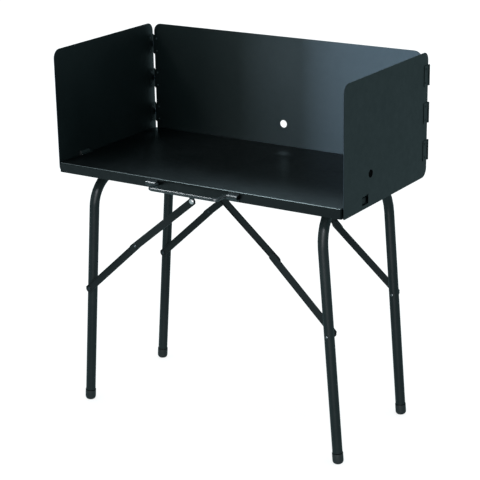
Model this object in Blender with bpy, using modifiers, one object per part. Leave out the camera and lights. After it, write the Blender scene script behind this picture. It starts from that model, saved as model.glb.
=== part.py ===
"""Outdoor cooking table: pressed tray on two folding tube leg frames with jointed
braces, a wire bail handle and a hinged three-panel windscreen.
X runs along the table, -Y is the front (handle side), Z is up, floor at z = 0."""
import bpy
import bmesh
import math
from math import sin, cos, pi, radians, atan2, hypot
from mathutils import Matrix, Vector

for ob in list(bpy.data.objects):
    bpy.data.objects.remove(ob, do_unlink=True)

# ---------------------------------------------------------------- driving dimensions
GAP = 0.0003              # running gap between touching pieces
TABLE_L = 0.813
TABLE_FRONT = -0.2105      # the rim stands a little proud of the side panels
TABLE_BACK = 0.2030
TABLE_H = 0.660           # top surface above the floor
FLANGE = 0.025            # depth of the tray's rim
SHEET = 0.0012
TRAY_R = 0.0035           # pressed edge radius
UNDER = TABLE_H - SHEET   # underside of the tray

TUBE_R = 0.0127            # one inch tube
TUBE_WALL = 0.0012
LEG_Y = 0.166
CAP_R = 0.0138
CAP_H = 0.026
CAP_EDGE = 0.009

SCREEN_BOTTOM = 0.633
SCREEN_TOP = 0.946
SIDE_IN = 0.4092          # inner face of a side panel
SIDE_FRONT = -0.2070
SIDE_REAR = 0.2125
BACK_IN = 0.2040          # inner face of the back panel
BACK_HALF = 0.399
SCREEN_R = 0.022
VENT_R = 0.010
HINGE_X = 0.4112
HINGE_Y = 0.2152
HINGE_R = 0.0025
PIN_R = 0.0014
HINGE_LOW = (0.675, 0.769, 0.862)
HINGE_H = 0.051
LEAF_T = 0.0010

BAR_W = 0.019
BAR_D = 0.0040            # depth of a brace channel
BAR_T = 0.0012
LOW_LAP = 0.0105          # how far the lower bar runs past the middle joint
UP_LAP = 0.0215           # and the upper bar
LEG_LAP = {"left": 0.0115, "right": 0.0085}    # and the lower bar past the leg joint
SHANK_R = 0.0025
HOLE_R = 0.0028
SPACER = 0.0007           # between the leg tube and a brace
LONG_SPACER = 0.0062      # the same where the brace has to clear the wide bend when folded

HANDLE_Z = 0.6473
HANDLE_Y = -0.2170
HANDLE_WIRE = 0.0045
HANDLE_HALF = 0.0975
HANDLE_REACH = 0.0400
HANDLE_END = 0.1290
CLIP_X0 = 0.1030
CLIP_X1 = 0.1320

# left frame folds last and lies lowest, right frame folds first and lies highest
FRAMES = {
    "left": dict(sx=-1, ax=-0.3305, az=0.6182, bend=0.075, foot=-0.381, sag="",
                 saddle=0.045, table=(-0.0184, 0.609), leg_s=0.2989, mid=(-0.19522, 0.46528)),
    "right": dict(sx=1, ax=0.3255, az=0.6446, bend=0.105, foot=0.3755, sag="rear",
                  saddle=0.040, table=(0.0043, 0.640), leg_s=0.3205, mid=(0.18234, 0.48806)),
}
# "sag" names a brace whose middle joint rests a little below the straight line instead of above

# the whole table is shifted along Y so that its outline is centred on the origin
FRONT_MOST = HANDLE_Y - HANDLE_REACH - HANDLE_WIRE
REAR_MOST = HINGE_Y + HINGE_R
Y_SHIFT = -(FRONT_MOST + REAR_MOST) / 2

# ---------------------------------------------------------------- collections, materials
scene = bpy.context.scene
main = bpy.data.collections.new("outdoor_cooking_table")
tools = bpy.data.collections.new("cutters")
scene.collection.children.link(main)
scene.collection.children.link(tools)


def material(name, colour, rough, metal):
    m = bpy.data.materials.new(name)
    m.use_nodes = True
    b = m.node_tree.nodes["Principled BSDF"]
    b.inputs["Base Color"].default_value = (*colour, 1)
    b.inputs["Roughness"].default_value = rough
    b.inputs["Metallic"].default_value = metal
    m.diffuse_color = (*colour, 1)
    return m


COAT = ((0.022, 0.028, 0.031), 0.38, 0.0)
TUBE = ((0.020, 0.025, 0.028), 0.42, 0.0)
PLASTIC = ((0.012, 0.013, 0.014), 0.55, 0.0)
ZINC = ((0.55, 0.56, 0.57), 0.35, 1.0)
BLACK_STEEL = ((0.030, 0.034, 0.036), 0.35, 1.0)


def finish(ob, name, look, body=None, smooth=True):
    """Name, material, shading, collection and joint parent of a finished piece."""
    ob.name = name
    ob.data.name = name
    ob.data.materials.clear()
    ob.data.materials.append(material("mat_" + name, *look))
    for c in list(ob.users_collection):
        c.objects.unlink(ob)
    main.objects.link(ob)
    if smooth:
        for o in bpy.context.selected_objects:
            o.select_set(False)
        ob.select_set(True)
        bpy.context.view_layer.objects.active = ob
        bpy.ops.object.shade_smooth()
        ob.data.set_sharp_from_angle(angle=radians(35))
    if body:
        hold(ob, body)
    return ob


pivots = {}


def pivot(name, at):
    e = bpy.data.objects.new("axis_" + name, None)
    e.empty_display_size = 0.02
    e.location = at
    main.objects.link(e)
    pivots[name] = e
    return e


def hold(ob, body):
    bpy.context.view_layer.update()
    e = pivots[body]
    w = ob.matrix_world.copy()
    ob.parent = e
    ob.matrix_parent_inverse = Matrix.Translation(-Vector(e.location))
    ob.matrix_world = w


def add(ob, coll=None):
    (coll or main).objects.link(ob)
    return ob


def solid_from_curve(ob):
    """The evaluated curve as a closed mesh object in the same place."""
    bpy.context.view_layer.update()
    dg = bpy.context.evaluated_depsgraph_get()
    me = bpy.data.meshes.new_from_object(ob.evaluated_get(dg))
    bm = bmesh.new()
    bm.from_mesh(me)
    bmesh.ops.remove_doubles(bm, verts=bm.verts, dist=2e-6)
    bmesh.ops.recalc_face_normals(bm, faces=bm.faces)
    bm.to_mesh(me)
    bm.free()
    new = bpy.data.objects.new(ob.name, me)
    new.matrix_world = ob.matrix_world.copy()
    add(new)
    bpy.data.objects.remove(ob, do_unlink=True)
    return new


# local XY -> world XZ (thickness along Y), and local XY -> world YZ (thickness along X)
def across_y(y):
    return Matrix(((1, 0, 0, 0), (0, 0, -1, y), (0, 1, 0, 0), (0, 0, 0, 1)))


def across_x(x):
    return Matrix(((0, 0, 1, x), (1, 0, 0, 0), (0, 1, 0, 0), (0, 0, 0, 1)))


def plate(name, loops, thick, where):
    """Flat outline with holes, extruded to a thickness centred on the plane."""
    cu = bpy.data.curves.new(name, "CURVE")
    cu.dimensions = "2D"
    cu.fill_mode = "BOTH"
    cu.extrude = thick / 2
    for loop in loops:
        sp = cu.splines.new("POLY")
        sp.points.add(len(loop) - 1)
        for p, (a, b) in zip(sp.points, loop):
            p.co = (a, b, 0, 1)
        sp.use_cyclic_u = True
    ob = bpy.data.objects.new(name, cu)
    ob.matrix_world = where
    add(ob)
    return solid_from_curve(ob)


def arc(cx, cy, r, a0, a1, n):
    return [(cx + r * cos(radians(a0 + (a1 - a0) * i / n)), cy + r * sin(radians(a0 + (a1 - a0) * i / n))) for i in range(n + 1)]


def circle(cx, cy, r, n=20):
    return arc(cx, cy, r, 0, 360, n)[:-1]


def rounded_rect(x0, y0, x1, y1, r, n=6):
    """r lists the radii at (x0,y0), (x1,y0), (x1,y1), (x0,y1)."""
    out = []
    for (cx, cy, a), rr in zip(((x0, y0, 180), (x1, y0, 270), (x1, y1, 0), (x0, y1, 90)), r):
        sx = 1 if cx == x0 else -1
        sy = 1 if cy == y0 else -1
        out += arc(cx + sx * rr, cy + sy * rr, rr, a, a + 90, n)
    return out


def block(name, lo, hi, coll=None):
    me = bpy.data.meshes.new(name)
    bm = bmesh.new()
    bmesh.ops.create_cube(bm, size=1)
    for v in bm.verts:
        v.co = Vector([(l + h) / 2 + c * (h - l) for l, h, c in zip(lo, hi, v.co)])
    bm.to_mesh(me)
    bm.free()
    return add(bpy.data.objects.new(name, me), coll)


def rod(name, a, b, r, n, coll=None):
    """Round bar from point a to point b."""
    me = bpy.data.meshes.new(name)
    bm = bmesh.new()
    a, b = Vector(a), Vector(b)
    bmesh.ops.create_cone(bm, cap_ends=True, segments=n, radius1=r, radius2=r, depth=(b - a).length)
    bm.to_mesh(me)
    bm.free()
    ob = bpy.data.objects.new(name, me)
    ob.matrix_world = Matrix.Translation((a + b) / 2) @ (b - a).to_track_quat("Z", "Y").to_matrix().to_4x4()
    return add(ob, coll)


def combine(ob, other, op):
    """Boolean applied now, the second mesh kept out of the model."""
    m = ob.modifiers.new(op.lower(), "BOOLEAN")
    m.operation = op
    m.solver = "EXACT"
    m.object = other
    bpy.context.view_layer.update()
    dg = bpy.context.evaluated_depsgraph_get()
    me = bpy.data.meshes.new_from_object(ob.evaluated_get(dg))
    ob.modifiers.clear()
    ob.data = me
    bpy.data.objects.remove(other, do_unlink=True)
    return ob


def turned(name, profile, at, axis, n):
    """Closed profile of (radius, height) from the upper pole to the lower, turned about an axis."""
    me = bpy.data.meshes.new(name)
    me.from_pydata([(r, 0, h) for r, h in profile], [(i, i + 1) for i in range(len(profile) - 1)], [])
    ob = bpy.data.objects.new(name, me)
    add(ob)
    m = ob.modifiers.new("turn", "SCREW")
    m.axis = "Z"
    m.steps = m.render_steps = n
    m.use_merge_vertices = True
    m.merge_threshold = 0.00005
    m.use_normal_calculate = True
    ob.matrix_world = Matrix.Translation(Vector(at)) @ Vector(axis).to_track_quat("Z", "Y").to_matrix().to_4x4()
    bpy.context.view_layer.update()
    dg = bpy.context.evaluated_depsgraph_get()
    me2 = bpy.data.meshes.new_from_object(ob.evaluated_get(dg))
    bm = bmesh.new()
    bm.from_mesh(me2)
    bmesh.ops.remove_doubles(bm, verts=bm.verts, dist=2e-6)
    bmesh.ops.recalc_face_normals(bm, faces=bm.faces)
    bm.to_mesh(me2)
    bm.free()
    ob.modifiers.clear()
    ob.data = me2
    return ob


def wire(name, pts, r, res, caps=True, cyclic=False):
    cu = bpy.data.curves.new(name, "CURVE")
    cu.dimensions = "3D"
    cu.bevel_depth = r
    cu.bevel_resolution = res
    cu.use_fill_caps = caps
    sp = cu.splines.new("POLY")
    sp.points.add(len(pts) - 1)
    for p, q in zip(sp.points, pts):
        p.co = (*q, 1)
    ob = bpy.data.objects.new(name, cu)
    add(ob)
    return solid_from_curve(ob)


def fillet_path(pts, radii, n=8):
    """Straight path through pts with rounded corners."""
    out = [Vector(pts[0])]
    for a, b, c, r in zip(pts, pts[1:], pts[2:], radii):
        a, b, c = Vector(a), Vector(b), Vector(c)
        u, v = (a - b).normalized(), (c - b).normalized()
        half = u.angle(v) / 2
        t = r / math.tan(half)
        centre = b + (u + v).normalized() * (r / sin(half))
        p0, p1 = b + u * t, b + v * t
        d0, d1 = p0 - centre, p1 - centre
        whole = d0.angle(d1)
        for i in range(n + 1):
            k = i / n
            out.append(centre + (d0 * sin((1 - k) * whole) + d1 * sin(k * whole)) / sin(whole))
    out.append(Vector(pts[-1]))
    return out


def pt(x, y, z):
    return Vector((x, y + Y_SHIFT, z))


# ---------------------------------------------------------------- pressed tray
me = bpy.data.meshes.new("table_top")
bm = bmesh.new()
bmesh.ops.create_cube(bm, size=1)
for v in bm.verts:
    v.co = Vector((v.co.x * TABLE_L, v.co.y * (TABLE_BACK - TABLE_FRONT) + (TABLE_BACK + TABLE_FRONT) / 2 + Y_SHIFT,
                   TABLE_H - FLANGE / 2 + v.co.z * FLANGE))
bottom = min(bm.faces, key=lambda f: f.calc_center_median().z)
bmesh.ops.delete(bm, geom=[bottom], context="FACES_ONLY")
bm.to_mesh(me)
bm.free()
tray = add(bpy.data.objects.new("table_top", me))
b = tray.modifiers.new("pressed_edge", "BEVEL")
b.width = TRAY_R
b.segments = 4
b.limit_method = "ANGLE"
b.angle_limit = radians(30)
s = tray.modifiers.new("sheet", "SOLIDIFY")
s.thickness = SHEET
s.offset = -1
s.use_even_offset = True
finish(tray, "table_top", COAT)

# ---------------------------------------------------------------- joint axes
pivot("windscreen_back", pt(0, BACK_IN, SCREEN_BOTTOM))
for side, sx in (("left", -1), ("right", 1)):
    pivot("windscreen_" + side, pt(sx * HINGE_X, HINGE_Y, HINGE_LOW[0]))
pivot("handle", pt(0, HANDLE_Y, HANDLE_Z))


def side_y(y):
    """Plate centre plane for a plate across Y."""
    return y + Y_SHIFT


# ---------------------------------------------------------------- windscreen panels
TAB_Y = (-0.119, -0.089)
TAB_Z0 = 0.643
TAB_TOP = TABLE_H + GAP + SHEET    # top of the hook where it lies on the tray
SLOT_TOP = 0.6665
HOOK_LAP = 0.0035
back = plate("windscreen_back",
             [rounded_rect(-BACK_HALF, SCREEN_BOTTOM, BACK_HALF, SCREEN_TOP, (SCREEN_R,) * 4),
              circle(0.004, 0.7175, VENT_R, 24)], SHEET, across_y(side_y(BACK_IN + SHEET / 2)))
finish(back, "windscreen_back", COAT, "windscreen_back", False)
for side, sx in (("left", -1), ("right", 1)):
    low_front = 0.015 if side == "left" else 0.004
    ys = Y_SHIFT
    loops = [rounded_rect(SIDE_FRONT + ys, SCREEN_BOTTOM, SIDE_REAR + ys, SCREEN_TOP,
                          (low_front, SCREEN_R, SCREEN_R, SCREEN_R)),
             [(TAB_Y[0] + ys, TAB_Z0), (TAB_Y[1] + ys, TAB_Z0), (TAB_Y[1] + ys, SLOT_TOP), (TAB_Y[0] + ys, SLOT_TOP)]]
    if side == "right":
        loops.append(circle(-0.078 + ys, 0.712, VENT_R, 24))
    ob = plate("windscreen_" + side, loops, SHEET, across_x(sx * (SIDE_IN + SHEET / 2)))
    # the hook is bent inward and down from the slot's upper edge and rests on the tray; it laps
    # the slot at both ends
    low = TABLE_H + GAP
    bend = [(0.0008, 0.6684), (-0.0041, TAB_TOP), (-0.0142, TAB_TOP), (-0.0142, low), (-0.0035, low), (0.0008, 0.6663)]
    hook = plate("hook", [[(sx * (SIDE_IN + x), z) for x, z in bend]], TAB_Y[1] - TAB_Y[0] + 2 * HOOK_LAP, across_y(side_y((TAB_Y[0] + TAB_Y[1]) / 2)))
    combine(ob, hook, "UNION")
    finish(ob, "windscreen_" + side, COAT, "windscreen_" + side, False)

# ---------------------------------------------------------------- windscreen hinges
third = HINGE_H / 3
ring = lambda a0, a1: arc(0, 0, HINGE_R, a0, a1, 11)


def placed(loop, sx):
    return [(sx * (HINGE_X + x), HINGE_Y + Y_SHIFT + y) for x, y in loop]


for side, sx in (("left", -1), ("right", 1)):
    for i, z0 in enumerate(HINGE_LOW):
        zc = z0 + HINGE_H / 2
        flat = Matrix.Translation((0, 0, zc))
        # leaf on the side panel, its plane 0.3 mm outside the sheet
        o1 = SIDE_IN + SHEET + GAP - HINGE_X
        o2 = o1 + LEAF_T
        y1, y2 = -math.sqrt(HINGE_R ** 2 - o1 ** 2), -math.sqrt(HINGE_R ** 2 - o2 ** 2)
        a1, a2 = math.degrees(atan2(y1, o1)), math.degrees(atan2(y2, o2))
        loop = [(o1, -0.0235)] + ring(a1, a2 - 360) + [(o2, -0.0235)]
        leaf = plate("leaf", [placed(loop, sx), placed(circle(0, 0, PIN_R + GAP, 10), sx)], HINGE_H, flat)
        c0, c1 = sorted((sx * (HINGE_X - 0.004), sx * (HINGE_X + 0.004)))
        notch = block("notch", (c0, HINGE_Y - 0.0048 + Y_SHIFT, zc - third / 2 - GAP / 2), (c1, HINGE_Y + 0.006 + Y_SHIFT, zc + third / 2 + GAP / 2), tools)
        combine(leaf, notch, "DIFFERENCE")
        for dz in (-0.017, 0.017):
            head = rod("rivet", pt(sx * (HINGE_X + o1 + 0.0005), HINGE_Y - 0.0150, zc + dz), pt(sx * (HINGE_X + o2 + 0.0010), HINGE_Y - 0.0150, zc + dz), 0.0025, 10, tools)
            combine(leaf, head, "UNION")
        finish(leaf, f"hinge_{side}_{i + 1}_side_leaf", COAT, "windscreen_" + side)
        # leaf on the back panel, cranked up to the pin
        b1 = BACK_IN + SHEET + GAP - HINGE_Y
        b2 = b1 + LEAF_T
        loop = [(-0.0278, b1), (-0.0090, b1)] + ring(-140, 193) + [(-0.0097, b2), (-0.0278, b2)]
        leaf = plate("leaf", [placed(loop, sx), placed(circle(0, 0, PIN_R + GAP, 10), sx)], HINGE_H, flat)
        for z_low in (zc - HINGE_H / 2 - 0.001, zc + third / 2 - GAP / 2):
            c0, c1 = sorted((sx * (HINGE_X - 0.0062), sx * (HINGE_X + 0.004)))
            notch = block("notch", (c0, HINGE_Y - 0.0090 + Y_SHIFT, z_low), (c1, HINGE_Y + 0.006 + Y_SHIFT, z_low + third + 0.001 + GAP / 2), tools)
            combine(leaf, notch, "DIFFERENCE")
        for dz in (-0.017, 0.017):
            head = rod("rivet", pt(sx * (HINGE_X - 0.0195), HINGE_Y + b1 + 0.0005, zc + dz), pt(sx * (HINGE_X - 0.0195), HINGE_Y + b2 + 0.0010, zc + dz), 0.0025, 10, tools)
            combine(leaf, head, "UNION")
        finish(leaf, f"hinge_{side}_{i + 1}_back_leaf", COAT, "windscreen_back")
        pin = rod("pin", pt(sx * HINGE_X, HINGE_Y, z0 - 0.0004), pt(sx * HINGE_X, HINGE_Y, z0 + HINGE_H + 0.0004), PIN_R, 12)
        finish(pin, f"hinge_{side}_{i + 1}_pin", BLACK_STEEL, "windscreen_back")

# ---------------------------------------------------------------- bail handle and its clips
flange_y = TABLE_FRONT
clip_t = 0.0012
ri = HANDLE_WIRE + GAP
ro = ri + clip_t
plate_y = flange_y - GAP          # inner side of the clip's feet
for side, sx in (("left", -1), ("right", 1)):
    # strap profile seen along X: flat feet on the rim, rolled over the wire
    c = (HANDLE_Y + Y_SHIFT, HANDLE_Z)
    yo = plate_y - clip_t + Y_SHIFT
    yi = plate_y + Y_SHIFT
    top, low = TABLE_H - 0.0038, TABLE_H - FLANGE + 0.0005
    do = math.degrees(math.acos((yo - c[0]) / ro)) if abs(yo - c[0]) < ro else 0
    outer = [(yi, top), (yo, top), (yo, c[1] + ro)] + arc(c[0], c[1], ro, 90, 270, 10) + [(yo, c[1] - ro), (yo, low), (yi, low)]
    inner = [(yi, c[1] - ri)] + arc(c[0], c[1], ri, 270, 90, 10) + [(yi, c[1] + ri)]
    clip = plate("clip", [outer + inner], CLIP_X1 - CLIP_X0, across_x(sx * (CLIP_X0 + CLIP_X1) / 2))
    finish(clip, f"handle_clip_{side}", COAT)

path = [(-HANDLE_END, HANDLE_Y, HANDLE_Z), (-HANDLE_HALF, HANDLE_Y, HANDLE_Z),
        (-HANDLE_HALF, HANDLE_Y - HANDLE_REACH, HANDLE_Z), (HANDLE_HALF, HANDLE_Y - HANDLE_REACH, HANDLE_Z),
        (HANDLE_HALF, HANDLE_Y, HANDLE_Z), (HANDLE_END, HANDLE_Y, HANDLE_Z)]
bar = wire("handle_bail", fillet_path([pt(*p) for p in path], (0.0050, 0.011, 0.011, 0.0050), 6), HANDLE_WIRE, 3)
finish(bar, "handle_bail", COAT, "handle")

# ---------------------------------------------------------------- leg frames and braces


def brace_geometry(f):
    """Lengths of the two bars so that the braces fold flat against the leg frame."""
    sx = f["sx"]
    length = hypot(f["foot"] - f["ax"], f["az"])
    d = Vector(((f["foot"] - f["ax"]) / length, -f["az"] / length))
    axis = Vector((f["ax"], f["az"]))
    table = Vector(f["table"])
    leg = axis + d * f["leg_s"]
    folded_leg = axis + Vector((-sx, 0)) * f["leg_s"]
    m0 = Vector(f["mid"])
    line = (leg - table).normalized()
    across = Vector((-line.y, line.x))
    along = line

    def miss(t):
        m = m0 + along * t
        a = (m - table).length
        folded = table + Vector((sx, 0)) * a
        return (m - leg).length - (folded - folded_leg).length
    lo, hi = -0.06, 0.06
    if miss(lo) * miss(hi) > 0:
        raise ValueError("no flat fold")
    for _ in range(60):
        mid = (lo + hi) / 2
        if miss(lo) * miss(mid) <= 0:
            hi = mid
        else:
            lo = mid
    m = m0 + along * lo
    a = (m - table).length
    folded = table + Vector((sx, 0)) * a
    sag = m - across * (2 * (m - table).dot(across))
    return dict(length=length, d=d, leg=leg, folded_leg=folded_leg, mid=m, sag=sag, a=a,
                b=(m - leg).length, folded=folded)


def bar_outline(p0, p1, before, after, w, n=7):
    """Bar from p0 to p1 in XZ, rounded ends run past the two joints."""
    u = (p1 - p0).normalized()
    v = Vector((-u.y, u.x))
    r = w / 2
    c0 = p0 - u * (before - r)
    c1 = p1 + u * (after - r)
    out = []
    a = atan2(v.y, v.x)
    for i in range(n + 1):
        t = a + pi * i / n
        out.append(c0 + Vector((cos(t), sin(t))) * r)
    for i in range(n + 1):
        t = a + pi + pi * i / n
        out.append(c1 + Vector((cos(t), sin(t))) * r)
    return [(p.x, p.y) for p in out], u


def channel(name, p0, p1, before, after, y_web, y_open, holes, boss):
    """Shallow U channel: flat web at y_web, lips reaching to y_open."""
    outline, u = bar_outline(p0, p1, before, after, BAR_W)
    yc = (y_web + y_open) / 2
    ob = plate(name, [outline] + [circle(h[0], h[1], HOLE_R, 12) for h in holes], abs(y_open - y_web), across_y(side_y(yc)))
    inside = 1 if y_open > y_web else -1
    w = BAR_W / 2 - BAR_T
    v = Vector((-u.y, u.x))
    e0, e1 = p0 - u * 0.05, p1 + u * 0.05
    quad = [e0 - v * w, e1 - v * w, e1 + v * w, e0 + v * w]
    y0, y1 = y_web + inside * BAR_T, y_open + inside * 0.002
    cut = plate("cut", [[(q.x, q.y) for q in quad]], abs(y1 - y0), across_y(side_y((y0 + y1) / 2)))
    combine(ob, cut, "DIFFERENCE")
    for c in boss:
        k = rod("boss", pt(c[0], y_web + inside * 0.0006, c[1]), pt(c[0], y_web + inside * 0.0034, c[1]), 0.0042, 12)
        combine(ob, k, "UNION")
    return ob


def stud(name, at, start, stages, inside, n=16):
    """Turned stud along Y: stages of (radius, length) stacked from start."""
    prof = [(0, 0)]
    h = 0
    for r, l in stages:
        prof.append((r, h))
        h += l
        prof.append((r, h))
    prof.append((0, h))
    prof = [(r, hh) for r, hh in reversed(prof)]
    return turned(name, prof, pt(at[0], start, at[1]), (0, inside, 0), n)


report = {}
for side, f in FRAMES.items():
    sx = f["sx"]
    g = brace_geometry(f)
    report[side] = g
    ax, az = f["ax"], f["az"]
    L = g["length"]
    d3 = Vector((g["d"].x, 0, g["d"].y))
    pivot("leg_frame_" + side, pt(ax, 0, az))

    # U-shaped tube with open ends inside the feet
    down = d3 * (L - 0.0045)
    axis_pt = pt(ax, 0, az)
    corners = [axis_pt + Vector((0, -LEG_Y, 0)) + down, axis_pt + Vector((0, -LEG_Y, 0)),
               axis_pt + Vector((0, LEG_Y, 0)), axis_pt + Vector((0, LEG_Y, 0)) + down]
    tube = wire("tube", fillet_path(corners, (f["bend"], f["bend"]), 9), TUBE_R, 6, caps=False)
    w = tube.modifiers.new("wall", "SOLIDIFY")
    w.thickness = TUBE_WALL
    w.offset = -1
    w.use_even_offset = True
    finish(tube, f"leg_frame_{side}", TUBE, "leg_frame_" + side)

    # feet
    for where, ys in (("front", -1), ("rear", 1)):
        top = L - CAP_H
        end = L + 0.0015
        bore = TUBE_R + GAP
        prof = [(bore, top), (CAP_R - 0.0002, top), (CAP_R, top + 0.0004)]
        prof += [(CAP_R - CAP_EDGE + CAP_EDGE * cos(t * pi / 8), end - CAP_EDGE + CAP_EDGE * sin(t * pi / 8)) for t in range(5)]
        prof += [(0, end), (0, L - 0.0042), (bore, L - 0.0042), (bore, top)]
        me = bpy.data.meshes.new("foot")
        n = len(prof) - 1
        me.from_pydata([(r, 0, -h) for r, h in prof[:-1]], [(i, (i + 1) % n) for i in range(n) if not (prof[i][0] == 0 and prof[(i + 1) % n][0] == 0)], [])
        foot = bpy.data.objects.new("foot", me)
        add(foot)
        m = foot.modifiers.new("turn", "SCREW")
        m.axis = "Z"
        m.steps = m.render_steps = 20
        m.use_merge_vertices = True
        m.merge_threshold = 0.00005
        foot.matrix_world = Matrix.Translation(pt(ax, ys * LEG_Y, az)) @ (-d3).to_track_quat("Z", "Y").to_matrix().to_4x4()
        bpy.context.view_layer.update()
        me2 = bpy.data.meshes.new_from_object(foot.evaluated_get(bpy.context.evaluated_depsgraph_get()))
        bm = bmesh.new()
        bm.from_mesh(me2)
        bmesh.ops.remove_doubles(bm, verts=bm.verts, dist=2e-6)
        bmesh.ops.recalc_face_normals(bm, faces=bm.faces)
        bm.to_mesh(me2)
        bm.free()
        foot.modifiers.clear()
        foot.data = me2
        x = f["foot"]
        floor = block("floor", (x - 0.05, ys * LEG_Y + Y_SHIFT - 0.05, -0.05), (x + 0.05, ys * LEG_Y + Y_SHIFT + 0.05, 0), tools)
        combine(foot, floor, "DIFFERENCE")
        finish(foot, f"foot_{side}_{where}", PLASTIC, "leg_frame_" + side)

    # saddles: straps that carry the crossbar under the tray
    for where, ys in (("front", -1), ("rear", 1)):
        t = 0.0015
        ri_, ro_ = TUBE_R + GAP, TUBE_R + GAP + t
        zt = UNDER - GAP
        F = ro_ + 0.014
        loop = [(ax - F, zt), (ax - F, zt - t)] + ([(ax - ro_, zt - t)] if zt - t > az else []) + \
            arc(ax, az, ro_, 180, 360, 14) + [(ax + ro_, zt - t), (ax + F, zt - t), (ax + F, zt), (ax + ri_, zt)] + \
            arc(ax, az, ri_, 360, 180, 14) + [(ax - ri_, zt)]
        strap = plate("strap", [loop], 0.020, across_y(side_y(ys * f["saddle"])))
        for dx in (-1, 1):
            k = rod("rivet", pt(ax + dx * (ro_ + 0.0075), ys * f["saddle"], zt - t + 0.0005), pt(ax + dx * (ro_ + 0.0075), ys * f["saddle"], zt - t - 0.0014), 0.0032, 12, tools)
            combine(strap, k, "UNION")
        finish(strap, f"saddle_{side}_{where}", COAT)

    # braces: the front one of the left frame is outboard, its rear one inboard; the
    # right frame is the same assembly turned half round
    for where, ys in (("front", -1), ("rear", 1)):
        outboard = (side == "left") == (where == "front")
        o = ys if outboard else -ys                 # away from the leg tube
        face = ys * LEG_Y + o * TUBE_R              # side of the tube
        space = LONG_SPACER if (side, where) == ("right", "front") else SPACER
        lo0 = face + o * space                      # lower bar: web by the tube
        lo1 = lo0 + o * BAR_D
        up1 = lo1 + o * 0.0004                      # upper bar: lips towards the lower bar
        up0 = up1 + o * BAR_D                       # its web, furthest out
        br0 = up0 + o * 0.0004                      # bracket plate
        br1 = br0 + o * 0.0020
        T, M, P = Vector(f["table"]), g["sag" if where == f["sag"] else "mid"], g["leg"]
        up_body = f"upper_brace_{side}_{where}"
        low_body = f"lower_brace_{side}_{where}"
        pivot(up_body, pt(T.x, up0, T.y))
        pivot(low_body, pt(P.x, lo0, P.y))
        u1 = (M - T).normalized()
        upper = channel("upper", T, M, 0.0090, UP_LAP, up0, up1, [T, M], [M + u1 * 0.0165])
        finish(upper, up_body, COAT, up_body)
        u2 = (M - P).normalized()
        lower = channel("lower", M, P, LOW_LAP, LEG_LAP[side], lo0, lo1, [P], [M])
        finish(lower, low_body, COAT, low_body)
        # bracket hanging from the tray, foot turned away from the bars
        hw = 0.0070
        zt = UNDER - GAP
        outline = [(T.x + hw, zt)] + [(T.x - hw, zt)] + arc(T.x, T.y, hw, 180, 360, 10)
        br = plate("bracket", [outline, circle(T.x, T.y, HOLE_R, 12)], 0.0020, across_y(side_y((br0 + br1) / 2)))
        a_, b_ = sorted((br1 - o * 0.0007, br1 + o * 0.0095))
        foot = block("foot", (T.x - hw - 0.004, a_ + Y_SHIFT, zt - 0.0020), (T.x + hw + 0.004, b_ + Y_SHIFT, zt + 0.0), tools)
        # the foot laps the top of the plate, a hair below its end face
        foot.location.z = -0.0001
        combine(br, foot, "UNION")
        finish(br, f"brace_bracket_{side}_{where}", COAT)
        # bolt through bracket and upper web
        inner = up0 - o * (BAR_T + GAP)
        bolt = stud("bolt", T, inner - o * 0.0018,
                    [(0.0042, 0.0018), (SHANK_R, abs(br1 - inner) + GAP), (0.0065, 0.0012), (0.0045, 0.0018)], o, 18)
        finish(bolt, f"brace_bolt_{side}_{where}", ZINC)
        # stud on the leg through the lower web
        collar = [(0.0055, space - 2 * GAP)] if space > 0.002 else []
        leg_stud = stud("stud", P, face + o * GAP,
                        collar + [(SHANK_R, space + BAR_T - sum(l for r, l in collar)), (0.0045, 0.0019)], o, 14)
        finish(leg_stud, f"leg_rivet_{side}_{where}", BLACK_STEEL, "leg_frame_" + side)
        # rivet through the upper web at the middle joint
        mid = stud("mid", M, up0 - o * (BAR_T + GAP + 0.0014),
                   [(0.0040, 0.0014), (SHANK_R, BAR_T + 2 * GAP), (0.0042, 0.0013)], o, 14)
        finish(mid, f"mid_rivet_{side}_{where}", BLACK_STEEL, up_body)

for ob in tools.objects:
    ob.hide_render = True
    ob.display_type = "WIRE"

deg = math.degrees
for side, g in report.items():
    f = FRAMES[side]
    T, M, P = Vector(f["table"]), g["mid"], g["leg"]
    print("GEOM", side, "axis", (f["ax"], f["az"]), "T", tuple(T), "M", tuple(M), "P", tuple(P), "S", tuple(g["sag"]), "a", g["a"], "b", g["b"],
          "M'", tuple(g["folded"]), "P'", tuple(g["folded_leg"]), "yshift", Y_SHIFT)
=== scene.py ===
"""Studio picture of the outdoor cooking table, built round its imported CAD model."""
import bpy
import bmesh
import math
from math import sin, cos, pi, radians
from mathutils import Matrix, Vector


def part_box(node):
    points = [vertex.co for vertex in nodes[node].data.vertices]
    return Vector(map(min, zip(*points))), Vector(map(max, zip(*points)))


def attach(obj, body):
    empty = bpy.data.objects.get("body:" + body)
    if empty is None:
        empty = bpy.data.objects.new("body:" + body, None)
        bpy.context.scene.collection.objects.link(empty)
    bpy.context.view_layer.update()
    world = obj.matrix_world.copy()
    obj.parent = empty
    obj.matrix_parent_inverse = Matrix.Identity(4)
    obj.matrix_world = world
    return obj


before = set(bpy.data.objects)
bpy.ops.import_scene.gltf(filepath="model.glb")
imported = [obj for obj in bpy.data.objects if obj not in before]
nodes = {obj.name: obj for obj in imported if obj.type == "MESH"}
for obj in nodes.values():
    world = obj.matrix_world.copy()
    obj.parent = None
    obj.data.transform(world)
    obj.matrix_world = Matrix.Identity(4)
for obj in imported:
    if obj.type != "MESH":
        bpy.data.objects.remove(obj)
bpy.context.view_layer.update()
scene = bpy.context.scene
YS = 0.0219                       # the model's shift along Y against the measured frame
VENT_Y, VENT_Z = YS - 0.0780, 0.7120


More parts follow.
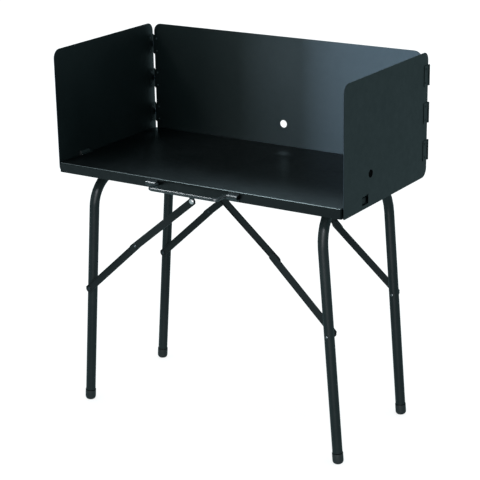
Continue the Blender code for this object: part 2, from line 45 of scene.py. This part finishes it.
# ------------------------------------------------------------------ materials
def new_mat(name):
    m = bpy.data.materials.new(name)
    m.use_nodes = True
    nt = m.node_tree
    for n in list(nt.nodes):
        nt.nodes.remove(n)
    out = nt.nodes.new("ShaderNodeOutputMaterial")
    bs = nt.nodes.new("ShaderNodeBsdfPrincipled")
    nt.links.new(bs.outputs["BSDF"], out.inputs["Surface"])
    return m, nt, bs


def noise(nt, vec, scale, detail=2.0, rough=0.5, dist=0.0):
    n = nt.nodes.new("ShaderNodeTexNoise")
    n.inputs["Scale"].default_value = scale
    n.inputs["Detail"].default_value = detail
    n.inputs["Roughness"].default_value = rough
    n.inputs["Distortion"].default_value = dist
    nt.links.new(vec, n.inputs["Vector"])
    return n.outputs["Fac"]


def ramp(nt, fac, stops):
    r = nt.nodes.new("ShaderNodeValToRGB")
    while len(r.color_ramp.elements) < len(stops):
        r.color_ramp.elements.new(0.5)
    for e, (p, c) in zip(r.color_ramp.elements, stops):
        e.position = p
        e.color = (*c, 1) if len(c) == 3 else c
    nt.links.new(fac, r.inputs["Fac"])
    return r.outputs["Color"]


def remap(nt, fac, lo, hi, a=0.3, b=0.7):
    n = nt.nodes.new("ShaderNodeMapRange")
    n.inputs["From Min"].default_value = a
    n.inputs["From Max"].default_value = b
    n.inputs["To Min"].default_value = lo
    n.inputs["To Max"].default_value = hi
    nt.links.new(fac, n.inputs["Value"])
    return n.outputs["Result"]


def math2(nt, op, a, b):
    n = nt.nodes.new("ShaderNodeMath")
    n.operation = op
    for i, v in enumerate((a, b)):
        if isinstance(v, (int, float)):
            n.inputs[i].default_value = v
        else:
            nt.links.new(v, n.inputs[i])
    return n.outputs[0]


def mix(nt, fac, a, b):
    n = nt.nodes.new("ShaderNodeMix")
    n.data_type = "RGBA"
    for sock, v in ((n.inputs["Factor"], fac), (n.inputs[6], a), (n.inputs[7], b)):
        if isinstance(v, (int, float)):
            sock.default_value = v
        elif isinstance(v, tuple):
            sock.default_value = (*v, 1)
        else:
            nt.links.new(v, sock)
    return n.outputs[2]


def powder_coat(name, dark, light, rough, peel=1.0, spec=0.4, seed=0.0, grain=900, shade_front_faces=False):
    """Satin powder coat: fine orange peel, faint mottling, dust and hairline scuffs; optionally painted shade on faces
    turned to the front.
    """
    m, nt, bs = new_mat(name)
    tc = nt.nodes.new("ShaderNodeTexCoord")
    mp = nt.nodes.new("ShaderNodeMapping")
    mp.inputs["Location"].default_value = (seed, seed * 0.7, seed * 1.3)
    nt.links.new(tc.outputs["Object"], mp.inputs["Vector"])
    v = mp.outputs["Vector"]
    big = noise(nt, v, 7, 3)
    mid = noise(nt, v, 60, 4, 0.6)
    fine = noise(nt, v, grain, 3, 0.6)
    speck = noise(nt, v, 2600, 1, 0.5)
    col = ramp(nt, big, [(0.30, dark), (0.72, light)])
    col = mix(nt, remap(nt, speck, 0.0, 0.22, 0.55, 0.8), col, tuple(min(1, c * 1.7) for c in light))
    # hairline scuffs, stretched along the sheet
    mp2 = nt.nodes.new("ShaderNodeMapping")
    mp2.inputs["Scale"].default_value = (1.0, 14.0, 14.0)
    mp2.inputs["Rotation"].default_value = (0.2, 0.35, 0.5)
    nt.links.new(v, mp2.inputs["Vector"])
    scuff = noise(nt, mp2.outputs["Vector"], 55, 2, 0.7)
    line = remap(nt, scuff, 0.0, 1.0, 0.72, 0.80)
    col = mix(nt, math2(nt, "MULTIPLY", line, 0.22), col, tuple(min(1, c * 2.4) for c in light))
    r = math2(nt, "ADD", remap(nt, mid, rough - 0.035, rough + 0.035), remap(nt, big, -0.02, 0.03))
    r = math2(nt, "ADD", r, math2(nt, "MULTIPLY", line, 0.10))
    if shade_front_faces:                    # painted shade: faces turned to the front are drawn darker and rougher, so the front cut edges look dim
        sep = nt.nodes.new("ShaderNodeSeparateXYZ")
        nt.links.new(tc.outputs["Normal"], sep.inputs[0])
        front_shade = remap(nt, math2(nt, "MULTIPLY", sep.outputs["Y"], -1.0), 0.0, 1.0, 0.25, 0.6)
        col = mix(nt, front_shade, col, tuple(c * 0.25 for c in dark))
        r = math2(nt, "ADD", r, math2(nt, "MULTIPLY", front_shade, 0.42))
    nt.links.new(col, bs.inputs["Base Color"])
    nt.links.new(r, bs.inputs["Roughness"])
    bs.inputs["Specular IOR Level"].default_value = spec
    bs.inputs["Metallic"].default_value = 0.0
    h = math2(nt, "ADD", math2(nt, "MULTIPLY", fine, 1.0), math2(nt, "MULTIPLY", mid, 0.6))
    bmp = nt.nodes.new("ShaderNodeBump")
    bmp.inputs["Strength"].default_value = 0.22 * peel
    bmp.inputs["Distance"].default_value = 0.0003
    nt.links.new(h, bmp.inputs["Height"])
    nt.links.new(bmp.outputs["Normal"], bs.inputs["Normal"])
    return m


def plated(name, base, rough, seed=0.0):
    m, nt, bs = new_mat(name)
    tc = nt.nodes.new("ShaderNodeTexCoord")
    mp = nt.nodes.new("ShaderNodeMapping")
    mp.inputs["Location"].default_value = (seed, seed, seed)
    nt.links.new(tc.outputs["Object"], mp.inputs["Vector"])
    v = mp.outputs["Vector"]
    a = noise(nt, v, 180, 3)
    b = noise(nt, v, 1400, 2)
    col = ramp(nt, a, [(0.3, tuple(c * 0.72 for c in base)), (0.7, base)])
    nt.links.new(col, bs.inputs["Base Color"])
    nt.links.new(remap(nt, b, rough - 0.06, rough + 0.10), bs.inputs["Roughness"])
    bs.inputs["Metallic"].default_value = 1.0
    bmp = nt.nodes.new("ShaderNodeBump")
    bmp.inputs["Strength"].default_value = 0.15
    bmp.inputs["Distance"].default_value = 0.0002
    nt.links.new(b, bmp.inputs["Height"])
    nt.links.new(bmp.outputs["Normal"], bs.inputs["Normal"])
    return m


def moulded(name, dark, light, rough, seed=0.0):
    m, nt, bs = new_mat(name)
    tc = nt.nodes.new("ShaderNodeTexCoord")
    v = tc.outputs["Object"]
    a = noise(nt, v, 40, 3)
    b = noise(nt, v, 1800, 2)
    nt.links.new(ramp(nt, a, [(0.3, dark), (0.7, light)]), bs.inputs["Base Color"])
    nt.links.new(remap(nt, a, rough - 0.05, rough + 0.08), bs.inputs["Roughness"])
    bs.inputs["Specular IOR Level"].default_value = 0.4
    bmp = nt.nodes.new("ShaderNodeBump")
    bmp.inputs["Strength"].default_value = 0.3
    bmp.inputs["Distance"].default_value = 0.0002
    nt.links.new(b, bmp.inputs["Height"])
    nt.links.new(bmp.outputs["Normal"], bs.inputs["Normal"])
    return m


SCREEN = powder_coat("screen_coat", (0.0035, 0.0068, 0.0068), (0.0060, 0.0100, 0.0098), 0.55, 1.0, 0.45)
# side panels: their front-facing edges carry painted shade
SIDE = powder_coat("side_coat", (0.0035, 0.0068, 0.0068), (0.0060, 0.0100, 0.0098), 0.55, 1.0, 0.45, shade_front_faces=True)
TRAY = powder_coat("tray_coat", (0.0006, 0.0016, 0.0018), (0.0013, 0.0026, 0.0029), 0.33, 0.12, 0.16, 3.1)
TUBE = powder_coat("tube_coat", (0.0060, 0.0100, 0.0104), (0.0100, 0.0150, 0.0152), 0.44, 1.0, 0.22, 5.7)
BRACE = powder_coat("brace_coat", (0.0056, 0.0078, 0.0080), (0.0094, 0.0116, 0.0118), 0.46, 1.0, 0.22, 9.2)
HANDLE = powder_coat("handle_coat", (0.0035, 0.0055, 0.0066), (0.0060, 0.0088, 0.0105), 0.34, 0.0, 0.8, 12.0)
BOLT = plated("bolt_zinc", (0.72, 0.70, 0.69), 0.42, 6.0)
ZINC = plated("zinc_plate", (0.62, 0.64, 0.66), 0.30, 1.0)
RIVET = plated("rivet_steel", (0.16, 0.17, 0.175), 0.36, 3.0)
DARKSTEEL = plated("blackened_steel", (0.075, 0.082, 0.088), 0.34, 2.0)
# painted shade: a near-black material with its reflection all but turned off, so the vent and the foot-cap edges read
# as unlit
SHADE_RUBBER = moulded("shade_black_rubber", (0.0003, 0.0004, 0.0004), (0.0006, 0.0008, 0.0008), 0.85)
SHADE_RUBBER.node_tree.nodes["Principled BSDF"].inputs["Specular IOR Level"].default_value = 0.015
FOOT = moulded("foot_plastic", (0.0042, 0.0066, 0.0066), (0.0072, 0.0100, 0.0100), 0.52)


def smoothing_group():
    """Geometry nodes that shade faces smooth and keep edges sharper than 32 degrees crisp."""
    g = bpy.data.node_groups.new("smooth_rounds", "GeometryNodeTree")
    g.interface.new_socket("Geometry", in_out="INPUT", socket_type="NodeSocketGeometry")
    g.interface.new_socket("Geometry", in_out="OUTPUT", socket_type="NodeSocketGeometry")
    gi, go = g.nodes.new("NodeGroupInput"), g.nodes.new("NodeGroupOutput")
    faces = g.nodes.new("GeometryNodeSetShadeSmooth")
    faces.domain = "FACE"
    edges = g.nodes.new("GeometryNodeSetShadeSmooth")
    edges.domain = "EDGE"
    ang = g.nodes.new("GeometryNodeInputMeshEdgeAngle")
    less = g.nodes.new("FunctionNodeCompare")
    less.data_type = "FLOAT"
    less.operation = "LESS_THAN"
    less.inputs["B"].default_value = radians(32)
    g.links.new(gi.outputs[0], faces.inputs["Geometry"])
    g.links.new(faces.outputs[0], edges.inputs["Geometry"])
    g.links.new(ang.outputs["Unsigned Angle"], less.inputs["A"])
    g.links.new(less.outputs["Result"], edges.inputs["Shade Smooth"])
    g.links.new(edges.outputs[0], go.inputs[0])
    return g


SMOOTH = smoothing_group()


def set_mat(ob, mat):
    if not ob.data.materials:
        ob.data.materials.append(mat)
    for s in ob.material_slots:
        s.link = "OBJECT"
        s.material = mat


def dress(name, mat, bevel=None, segs=2, weld=True):
    ob = nodes[name]
    set_mat(ob, mat)
    if weld:
        w = ob.modifiers.new("weld", "WELD")
        w.merge_threshold = 0.00002
    if bevel:
        b = ob.modifiers.new("edge", "BEVEL")
        b.width = bevel
        b.segments = segs
        b.limit_method = "ANGLE"
        b.angle_limit = radians(40)
        b.harden_normals = False
    else:
        ob.modifiers.new("rounds", "NODES").node_group = SMOOTH
        n = ob.modifiers.new("flats", "WEIGHTED_NORMAL")
        n.mode = "FACE_AREA"
        n.weight = 90
        n.keep_sharp = True
    return ob


for name in nodes:
    if name.startswith("windscreen"):
        dress(name, SCREEN if name.endswith("back") else SIDE, 0.00035, 2)
    elif name.startswith("hinge") and name.endswith("leaf"):
        dress(name, SCREEN, 0.0002, 2)
    elif name == "table_top":
        dress(name, TRAY)
    elif name.startswith("leg_frame"):
        dress(name, TUBE)
    elif name.startswith("foot_"):
        dress(name, FOOT)
    elif name.startswith(("upper_brace", "lower_brace", "brace_bracket", "saddle")):
        dress(name, BRACE, 0.0003, 2)
    elif name.startswith("handle"):
        dress(name, HANDLE)
    elif name.startswith("brace_bolt"):
        dress(name, BOLT, 0.0003, 2)
    else:
        dress(name, DARKSTEEL, 0.0002, 2)



# ------------------------------------------------------------------ small pieces
def shown(name, me, mat, body, bevel=None):
    for q in me.polygons:
        q.use_smooth = bevel is None
    ob = bpy.data.objects.new(name, me)
    scene.collection.objects.link(ob)
    me.materials.append(mat)
    if bevel:
        b = ob.modifiers.new("edge", "BEVEL")
        b.width = bevel
        b.segments = 2
        b.limit_method = "ANGLE"
        b.angle_limit = radians(40)
    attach(ob, body)
    extras.append(ob)
    return ob


extras = []


def slab(name, lo, hi, mat, body, bevel):
    me = bpy.data.meshes.new(name)
    bm = bmesh.new()
    bmesh.ops.create_cube(bm, size=1)
    for v in bm.verts:
        v.co = Vector([(a + b) / 2 + c * (b - a) for a, b, c in zip(lo, hi, v.co)])
    bm.to_mesh(me)
    bm.free()
    return shown(name, me, mat, body, bevel)


def button(name, at, axis, r, h, mat, body, n=20, dish=0.0):
    """Rivet head standing on a surface, dished in the middle where a tail was rolled over."""
    prof = [(r, -0.0004), (r, 0.15 * h), (0.94 * r, 0.45 * h), (0.78 * r, 0.78 * h), (0.52 * r, h), (0.26 * r, h * (1 - dish)), (0, h * (1 - dish))]
    q = Vector(axis).to_track_quat("Z", "Y")
    verts, faces = [], []
    for i in range(n):
        a = 2 * pi * i / n
        for rr, hh in prof[:-1]:
            verts.append(q @ Vector((rr * cos(a), rr * sin(a), hh)) + Vector(at))
    k = len(prof) - 1
    top = len(verts)
    verts.append(q @ Vector((0, 0, prof[-1][1])) + Vector(at))
    for i in range(n):
        j = (i + 1) % n
        for m_ in range(k - 1):
            faces.append((i * k + m_, j * k + m_, j * k + m_ + 1, i * k + m_ + 1))
        faces.append((i * k + k - 1, j * k + k - 1, top))
    faces.append(tuple(reversed([i * k for i in range(n)])))
    me = bpy.data.meshes.new(name)
    me.from_pydata([tuple(v) for v in verts], [], faces)
    me.update()
    return shown(name, me, mat, body)


def middle(node):
    lo_, hi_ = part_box(node)
    return [(a + b) / 2 for a, b in zip(lo_, hi_)]


# inner faces of the screen: backing strips and rolled rivet tails behind each hinge leaf
back_lo, back_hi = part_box("windscreen_back")
for side, sx in (("left", -1), ("right", 1)):
    side_lo, side_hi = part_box("windscreen_" + side)
    inner_x = sx * (abs(side_hi[0] if side == "right" else side_lo[0]) - 0.0012)
    for i in (1, 2, 3):
        lo_, hi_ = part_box(f"hinge_{side}_{i}_back_leaf")
        zc = (lo_[2] + hi_[2]) / 2
        x0, x1 = sorted((sx * 0.3840, sx * 0.3975))
        slab(f"backing_{side}_{i}_rear", (x0, back_lo[1] - 0.0006, zc - 0.0255), (x1, back_lo[1] + 0.0003, zc + 0.0255), SCREEN, "windscreen_back", 0.00025)
        y1_ = side_hi[1] - 0.0015
        a_, b_ = sorted((inner_x - sx * 0.0006, inner_x + sx * 0.0003))
        slab(f"backing_{side}_{i}_side", (a_, y1_ - 0.0200, zc - 0.0255), (b_, y1_ - 0.0030, zc + 0.0255), SCREEN, "windscreen_" + side, 0.00025)
        for dz in (-0.017, 0.017):
            button(f"tail_{side}_{i}_rear_{'up' if dz > 0 else 'low'}", (sx * 0.3917, back_lo[1] - 0.0006, zc + dz), (0, -1, 0), 0.0027, 0.0010, RIVET, "windscreen_back", 18, 0.5)
            button(f"tail_{side}_{i}_side_{'up' if dz > 0 else 'low'}", (inner_x - sx * 0.0006, y1_ - 0.0115, zc + dz), (-sx, 0, 0), 0.0027, 0.0010, RIVET, "windscreen_" + side, 18, 0.5)

# rivet heads on the far side of each right-hand leg tube
for where, ys in (("front", -1), ("rear", 1)):
    c = middle(f"leg_rivet_right_{where}")
    y_ = ys * 0.166 + YS - 0.0126
    button(f"leg_head_right_{where}", (c[0], y_, c[2]), (0, -1, 0), 0.0034, 0.0014, RIVET, "leg_frame_right", 20, 0.0)
# black grommet in the round vent of the right side panel, near black and nearly unreflecting: painted shade that keeps
# the vent dark
def ring(name, at, axis, prof, mat, body, n=40):
    q = Vector(axis).to_track_quat("Z", "Y")
    verts = [q @ Vector((rr * cos(2 * pi * i / n), rr * sin(2 * pi * i / n), hh)) + Vector(at) for i in range(n) for rr, hh in prof]
    k = len(prof)
    faces = [(i * k + m_, ((i + 1) % n) * k + m_, ((i + 1) % n) * k + (m_ + 1) % k, i * k + (m_ + 1) % k) for i in range(n) for m_ in range(k)]
    me_ = bpy.data.meshes.new(name)
    me_.from_pydata([tuple(v) for v in verts], [], faces)
    me_.update()
    return shown(name, me_, mat, body)


side_lo, side_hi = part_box("windscreen_right")
ring("vent_grommet_right", (side_hi[0] - 0.0006, VENT_Y, VENT_Z), (1, 0, 0),
     [(0.0094, -0.0016), (0.0094, 0.0008), (0.0088, 0.0011), (0.0039, 0.0009), (0.0034, 0.0004), (0.0034, -0.0023), (0.0041, -0.0028), (0.0088, -0.0019)],
     SHADE_RUBBER, "windscreen_right")
# small turned end that closes the front of the left hook
slab("hook_web_left", (-0.4092, YS - 0.1230, 0.6604), (-0.4052, YS - 0.1206, 0.6684), SCREEN, "windscreen_left", 0.0003)
slab("hook_web_left_low", (-0.4092, YS - 0.1250, 0.6545), (-0.4068, YS - 0.1190, 0.6606), SCREEN, "windscreen_left", 0.0003)
# lip round the top of each foot cap, in the near-black unreflecting material: painted shade for the dark line at the
# cap's top edge
for n_ in [x for x in nodes if x.startswith("foot_")]:
    lo_, hi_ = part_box(n_)
    side = n_.split("_")[1]
    frame_lo, frame_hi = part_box("leg_frame_" + side)
    ax_x = {"left": -0.3305, "right": 0.3255}[side]
    ft_x = {"left": -0.381, "right": 0.3755}[side]
    ax_z = {"left": 0.6182, "right": 0.6446}[side]
    along = Vector((ax_x - ft_x, 0, ax_z)).normalized()
    z_ = hi_[2] - 0.0138 * abs(along.x) + 0.0004
    at_ = Vector((ft_x + along.x / along.z * z_, (lo_[1] + hi_[1]) / 2, z_))
    ring("lip_" + n_, at_, along, [(0.0129, 0.0), (0.0136, 0.0), (0.0138, 0.0006), (0.0136, 0.0012), (0.0129, 0.0012)], SHADE_RUBBER, "leg_frame_" + side)
# rolled tails on the middle joints of the left front and right rear braces
for side in ("left", "right"):
    for where in ("front", "rear"):
        lo_, hi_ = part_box(f"mid_rivet_{side}_{where}")
        c = middle(f"mid_rivet_{side}_{where}")
        web_lo, web_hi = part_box(f"upper_brace_{side}_{where}")
        if (side == "left") == (where == "rear"):
            continue
        button(f"mid_head_{side}_{where}", (c[0], lo_[1], c[2]), (0, -1, 0), 0.0032, 0.0008, RIVET, f"upper_brace_{side}_{where}", 18, 0.4)

# ------------------------------------------------------------------ camera
CX, CY, CZ = 2.0675, -3.1956 + YS, 1.7272
AZ, EL, ROLL, F = 0.5752, 0.3216, -0.0181, 1579.99
f = Vector((-sin(AZ) * cos(EL), cos(AZ) * cos(EL), -sin(EL)))
r = f.cross(Vector((0, 0, 1))).normalized()
u = r.cross(f)
r2 = cos(ROLL) * r + sin(ROLL) * u
u2 = -sin(ROLL) * r + cos(ROLL) * u
cam_data = bpy.data.cameras.new("camera")
cam_data.sensor_width = 36
cam_data.lens = F * 36 / 480
cam = bpy.data.objects.new("camera", cam_data)
scene.collection.objects.link(cam)
m = Matrix((r2, u2, -f)).transposed().to_4x4()
m.translation = Vector((CX, CY, CZ))
cam.matrix_world = m
cam_data.clip_start = 0.05
cam_data.clip_end = 60
scene.camera = cam

# ------------------------------------------------------------------ floor and light
ROOM = 0.47
SCREEN_ONLY, TRAY_ONLY, BELOW = "screen", "tray", "below"
LIGHTS = (
    (SCREEN_ONLY, ("side_far", (-2.20, -1.12, 0.82), (0.0, 0.0, 0.80), 1.0, 365, (0.60, 0.88, 1.20)), {"size_y": 0.26}),
    (SCREEN_ONLY, ("side_mid", (-1.80, -1.56, 0.80), (0.0, 0.0, 0.80), 0.8, 36, (0.68, 0.92, 1.10)), {"size_y": 0.26}),
    (SCREEN_ONLY, ("side_near", (-1.35, -1.98, 0.80), (0.0, 0.0, 0.80), 0.6, 4, (0.80, 0.98, 1.02)), {"size_y": 0.26}),
    (SCREEN_ONLY, ("screen_rim", (-1.9, -0.9, 3.0), (0.0, -0.2, 0.66), 1.2, 24, (0.9, 0.96, 1.0)), {"size_y": 0.4}),
    (TRAY_ONLY, ("back_top", (-0.72, 1.45, 1.92), (0.25, -0.15, 0.66), 0.6, 8.5, (0.70, 0.98, 1.10)), {"size_y": 0.5, "diffuse": False}),
    (TRAY_ONLY, ("tray_rim", (-1.1, -1.1, 3.0), (0.3, -0.2, 0.66), 1.1, 300, (0.76, 0.98, 1.04)), {"size_y": 0.5, "diffuse": False}),
    (TRAY_ONLY, ("tray_low", (-1.15, -2.30, 0.06), (0.1, -0.2, 0.64), 2.0, 7.5, (0.74, 1.0, 1.06)), {"size_y": 0.7}),
    (BELOW, ("low_side", (-2.00, -1.70, 0.95), (0.0, 0.0, 0.40), 0.7, 4, (0.86, 0.96, 1.0)), {"size_y": 0.9}),
    (BELOW, ("front", (1.30, -2.60, 0.75), (0.1, 0.0, 0.45), 0.4, 44, (0.98, 0.98, 1.0)), {"size_y": 1.1}),
    (BELOW, ("over_camera", (1.7, -2.5, 3.1), (0.1, -0.1, 0.55), 0.5, 300, (0.94, 0.97, 1.05)), {"size_y": 0.4, "diffuse": False}),
    (BELOW, ("rim", (-1.9, -0.9, 3.0), (0.0, -0.2, 0.66), 1.2, 75, (0.9, 0.96, 1.0)), {"size_y": 0.4}),
)
me = bpy.data.meshes.new("floor")
bm = bmesh.new()
bmesh.ops.create_grid(bm, x_segments=1, y_segments=1, size=14)
bm.to_mesh(me)
bm.free()
floor = bpy.data.objects.new("floor", me)
scene.collection.objects.link(floor)
floor.location.z = -0.0002
fm, nt, bs = new_mat("pale_floor")
tc = nt.nodes.new("ShaderNodeTexCoord")
g = noise(nt, tc.outputs["Object"], 3, 3)
nt.links.new(ramp(nt, g, [(0.3, (0.225, 0.225, 0.225)), (0.7, (0.235, 0.235, 0.235))]), bs.inputs["Base Color"])
bs.inputs["Roughness"].default_value = 0.9
bs.inputs["Specular IOR Level"].default_value = 0.0
bs.inputs["Emission Color"].default_value = (1, 1, 1, 1)
bs.inputs["Emission Strength"].default_value = 0.80
floor.data.materials.append(fm)

floor.visible_glossy = False       # the cards and the dim room are what the paint reflects
floor.visible_diffuse = False

world = bpy.data.worlds.new("studio")
scene.world = world
world.use_nodes = True
wn = world.node_tree
seen = wn.nodes["Background"]
seen.inputs["Color"].default_value = (1.0, 1.0, 1.0, 1)
seen.inputs["Strength"].default_value = 1.0
room = wn.nodes.new("ShaderNodeBackground")
room.inputs["Color"].default_value = (0.66, 0.98, 1.05, 1)
room.inputs["Strength"].default_value = ROOM
pick = wn.nodes.new("ShaderNodeMixShader")
lp = wn.nodes.new("ShaderNodeLightPath")
wn.links.new(lp.outputs["Is Camera Ray"], pick.inputs[0])
wn.links.new(room.outputs[0], pick.inputs[1])
wn.links.new(seen.outputs[0], pick.inputs[2])
wn.links.new(pick.outputs[0], wn.nodes["World Output"].inputs["Surface"])


def area(name, at, aim, size, power, colour=(1, 1, 1), size_y=None, glossy=True, diffuse=True):
    d = bpy.data.lights.new(name, "AREA")
    d.shape = "RECTANGLE"
    d.size = size
    d.size_y = size_y or size
    d.energy = power
    d.color = colour
    o = bpy.data.objects.new(name, d)
    scene.collection.objects.link(o)
    o.location = at
    o.rotation_mode = "QUATERNION"
    o.rotation_quaternion = (Vector(aim) - Vector(at)).to_track_quat("-Z", "Y")
    o.visible_camera = False
    o.visible_glossy = glossy
    o.visible_diffuse = diffuse
    return o


def linked(light, name, state, pieces):
    """Light linking: these pieces alone take this light, or all but these do."""
    c = bpy.data.collections.new(name)
    for ob in pieces:
        c.objects.link(ob)
    light.light_linking.receiver_collection = c
    for item in c.collection_objects:
        item.light_linking.link_state = state


takers = {SCREEN_ONLY: [nodes[n] for n in nodes if n.startswith(("windscreen", "hinge"))] + [e for e in extras if e.name.startswith(("backing", "tail"))],
          TRAY_ONLY: [nodes["table_top"]],
          BELOW: [nodes[n] for n in nodes if not n.startswith(("windscreen", "hinge", "table_top"))] + [e for e in extras if not e.name.startswith(("backing", "tail"))]}
for takes, args, options in LIGHTS:
    linked(area(*args, **options), args[0] + "_takers", "INCLUDE", takers[takes])
sun = bpy.data.lights.new("floor_light", "SUN")
sun.energy = 2.9
sun.angle = radians(120)
sky = bpy.data.objects.new("floor_light", sun)
scene.collection.objects.link(sky)
sky.location = (0, 0, 5)
linked(sky, "floor_only", "INCLUDE", [floor])

scene.view_settings.view_transform = "Standard"
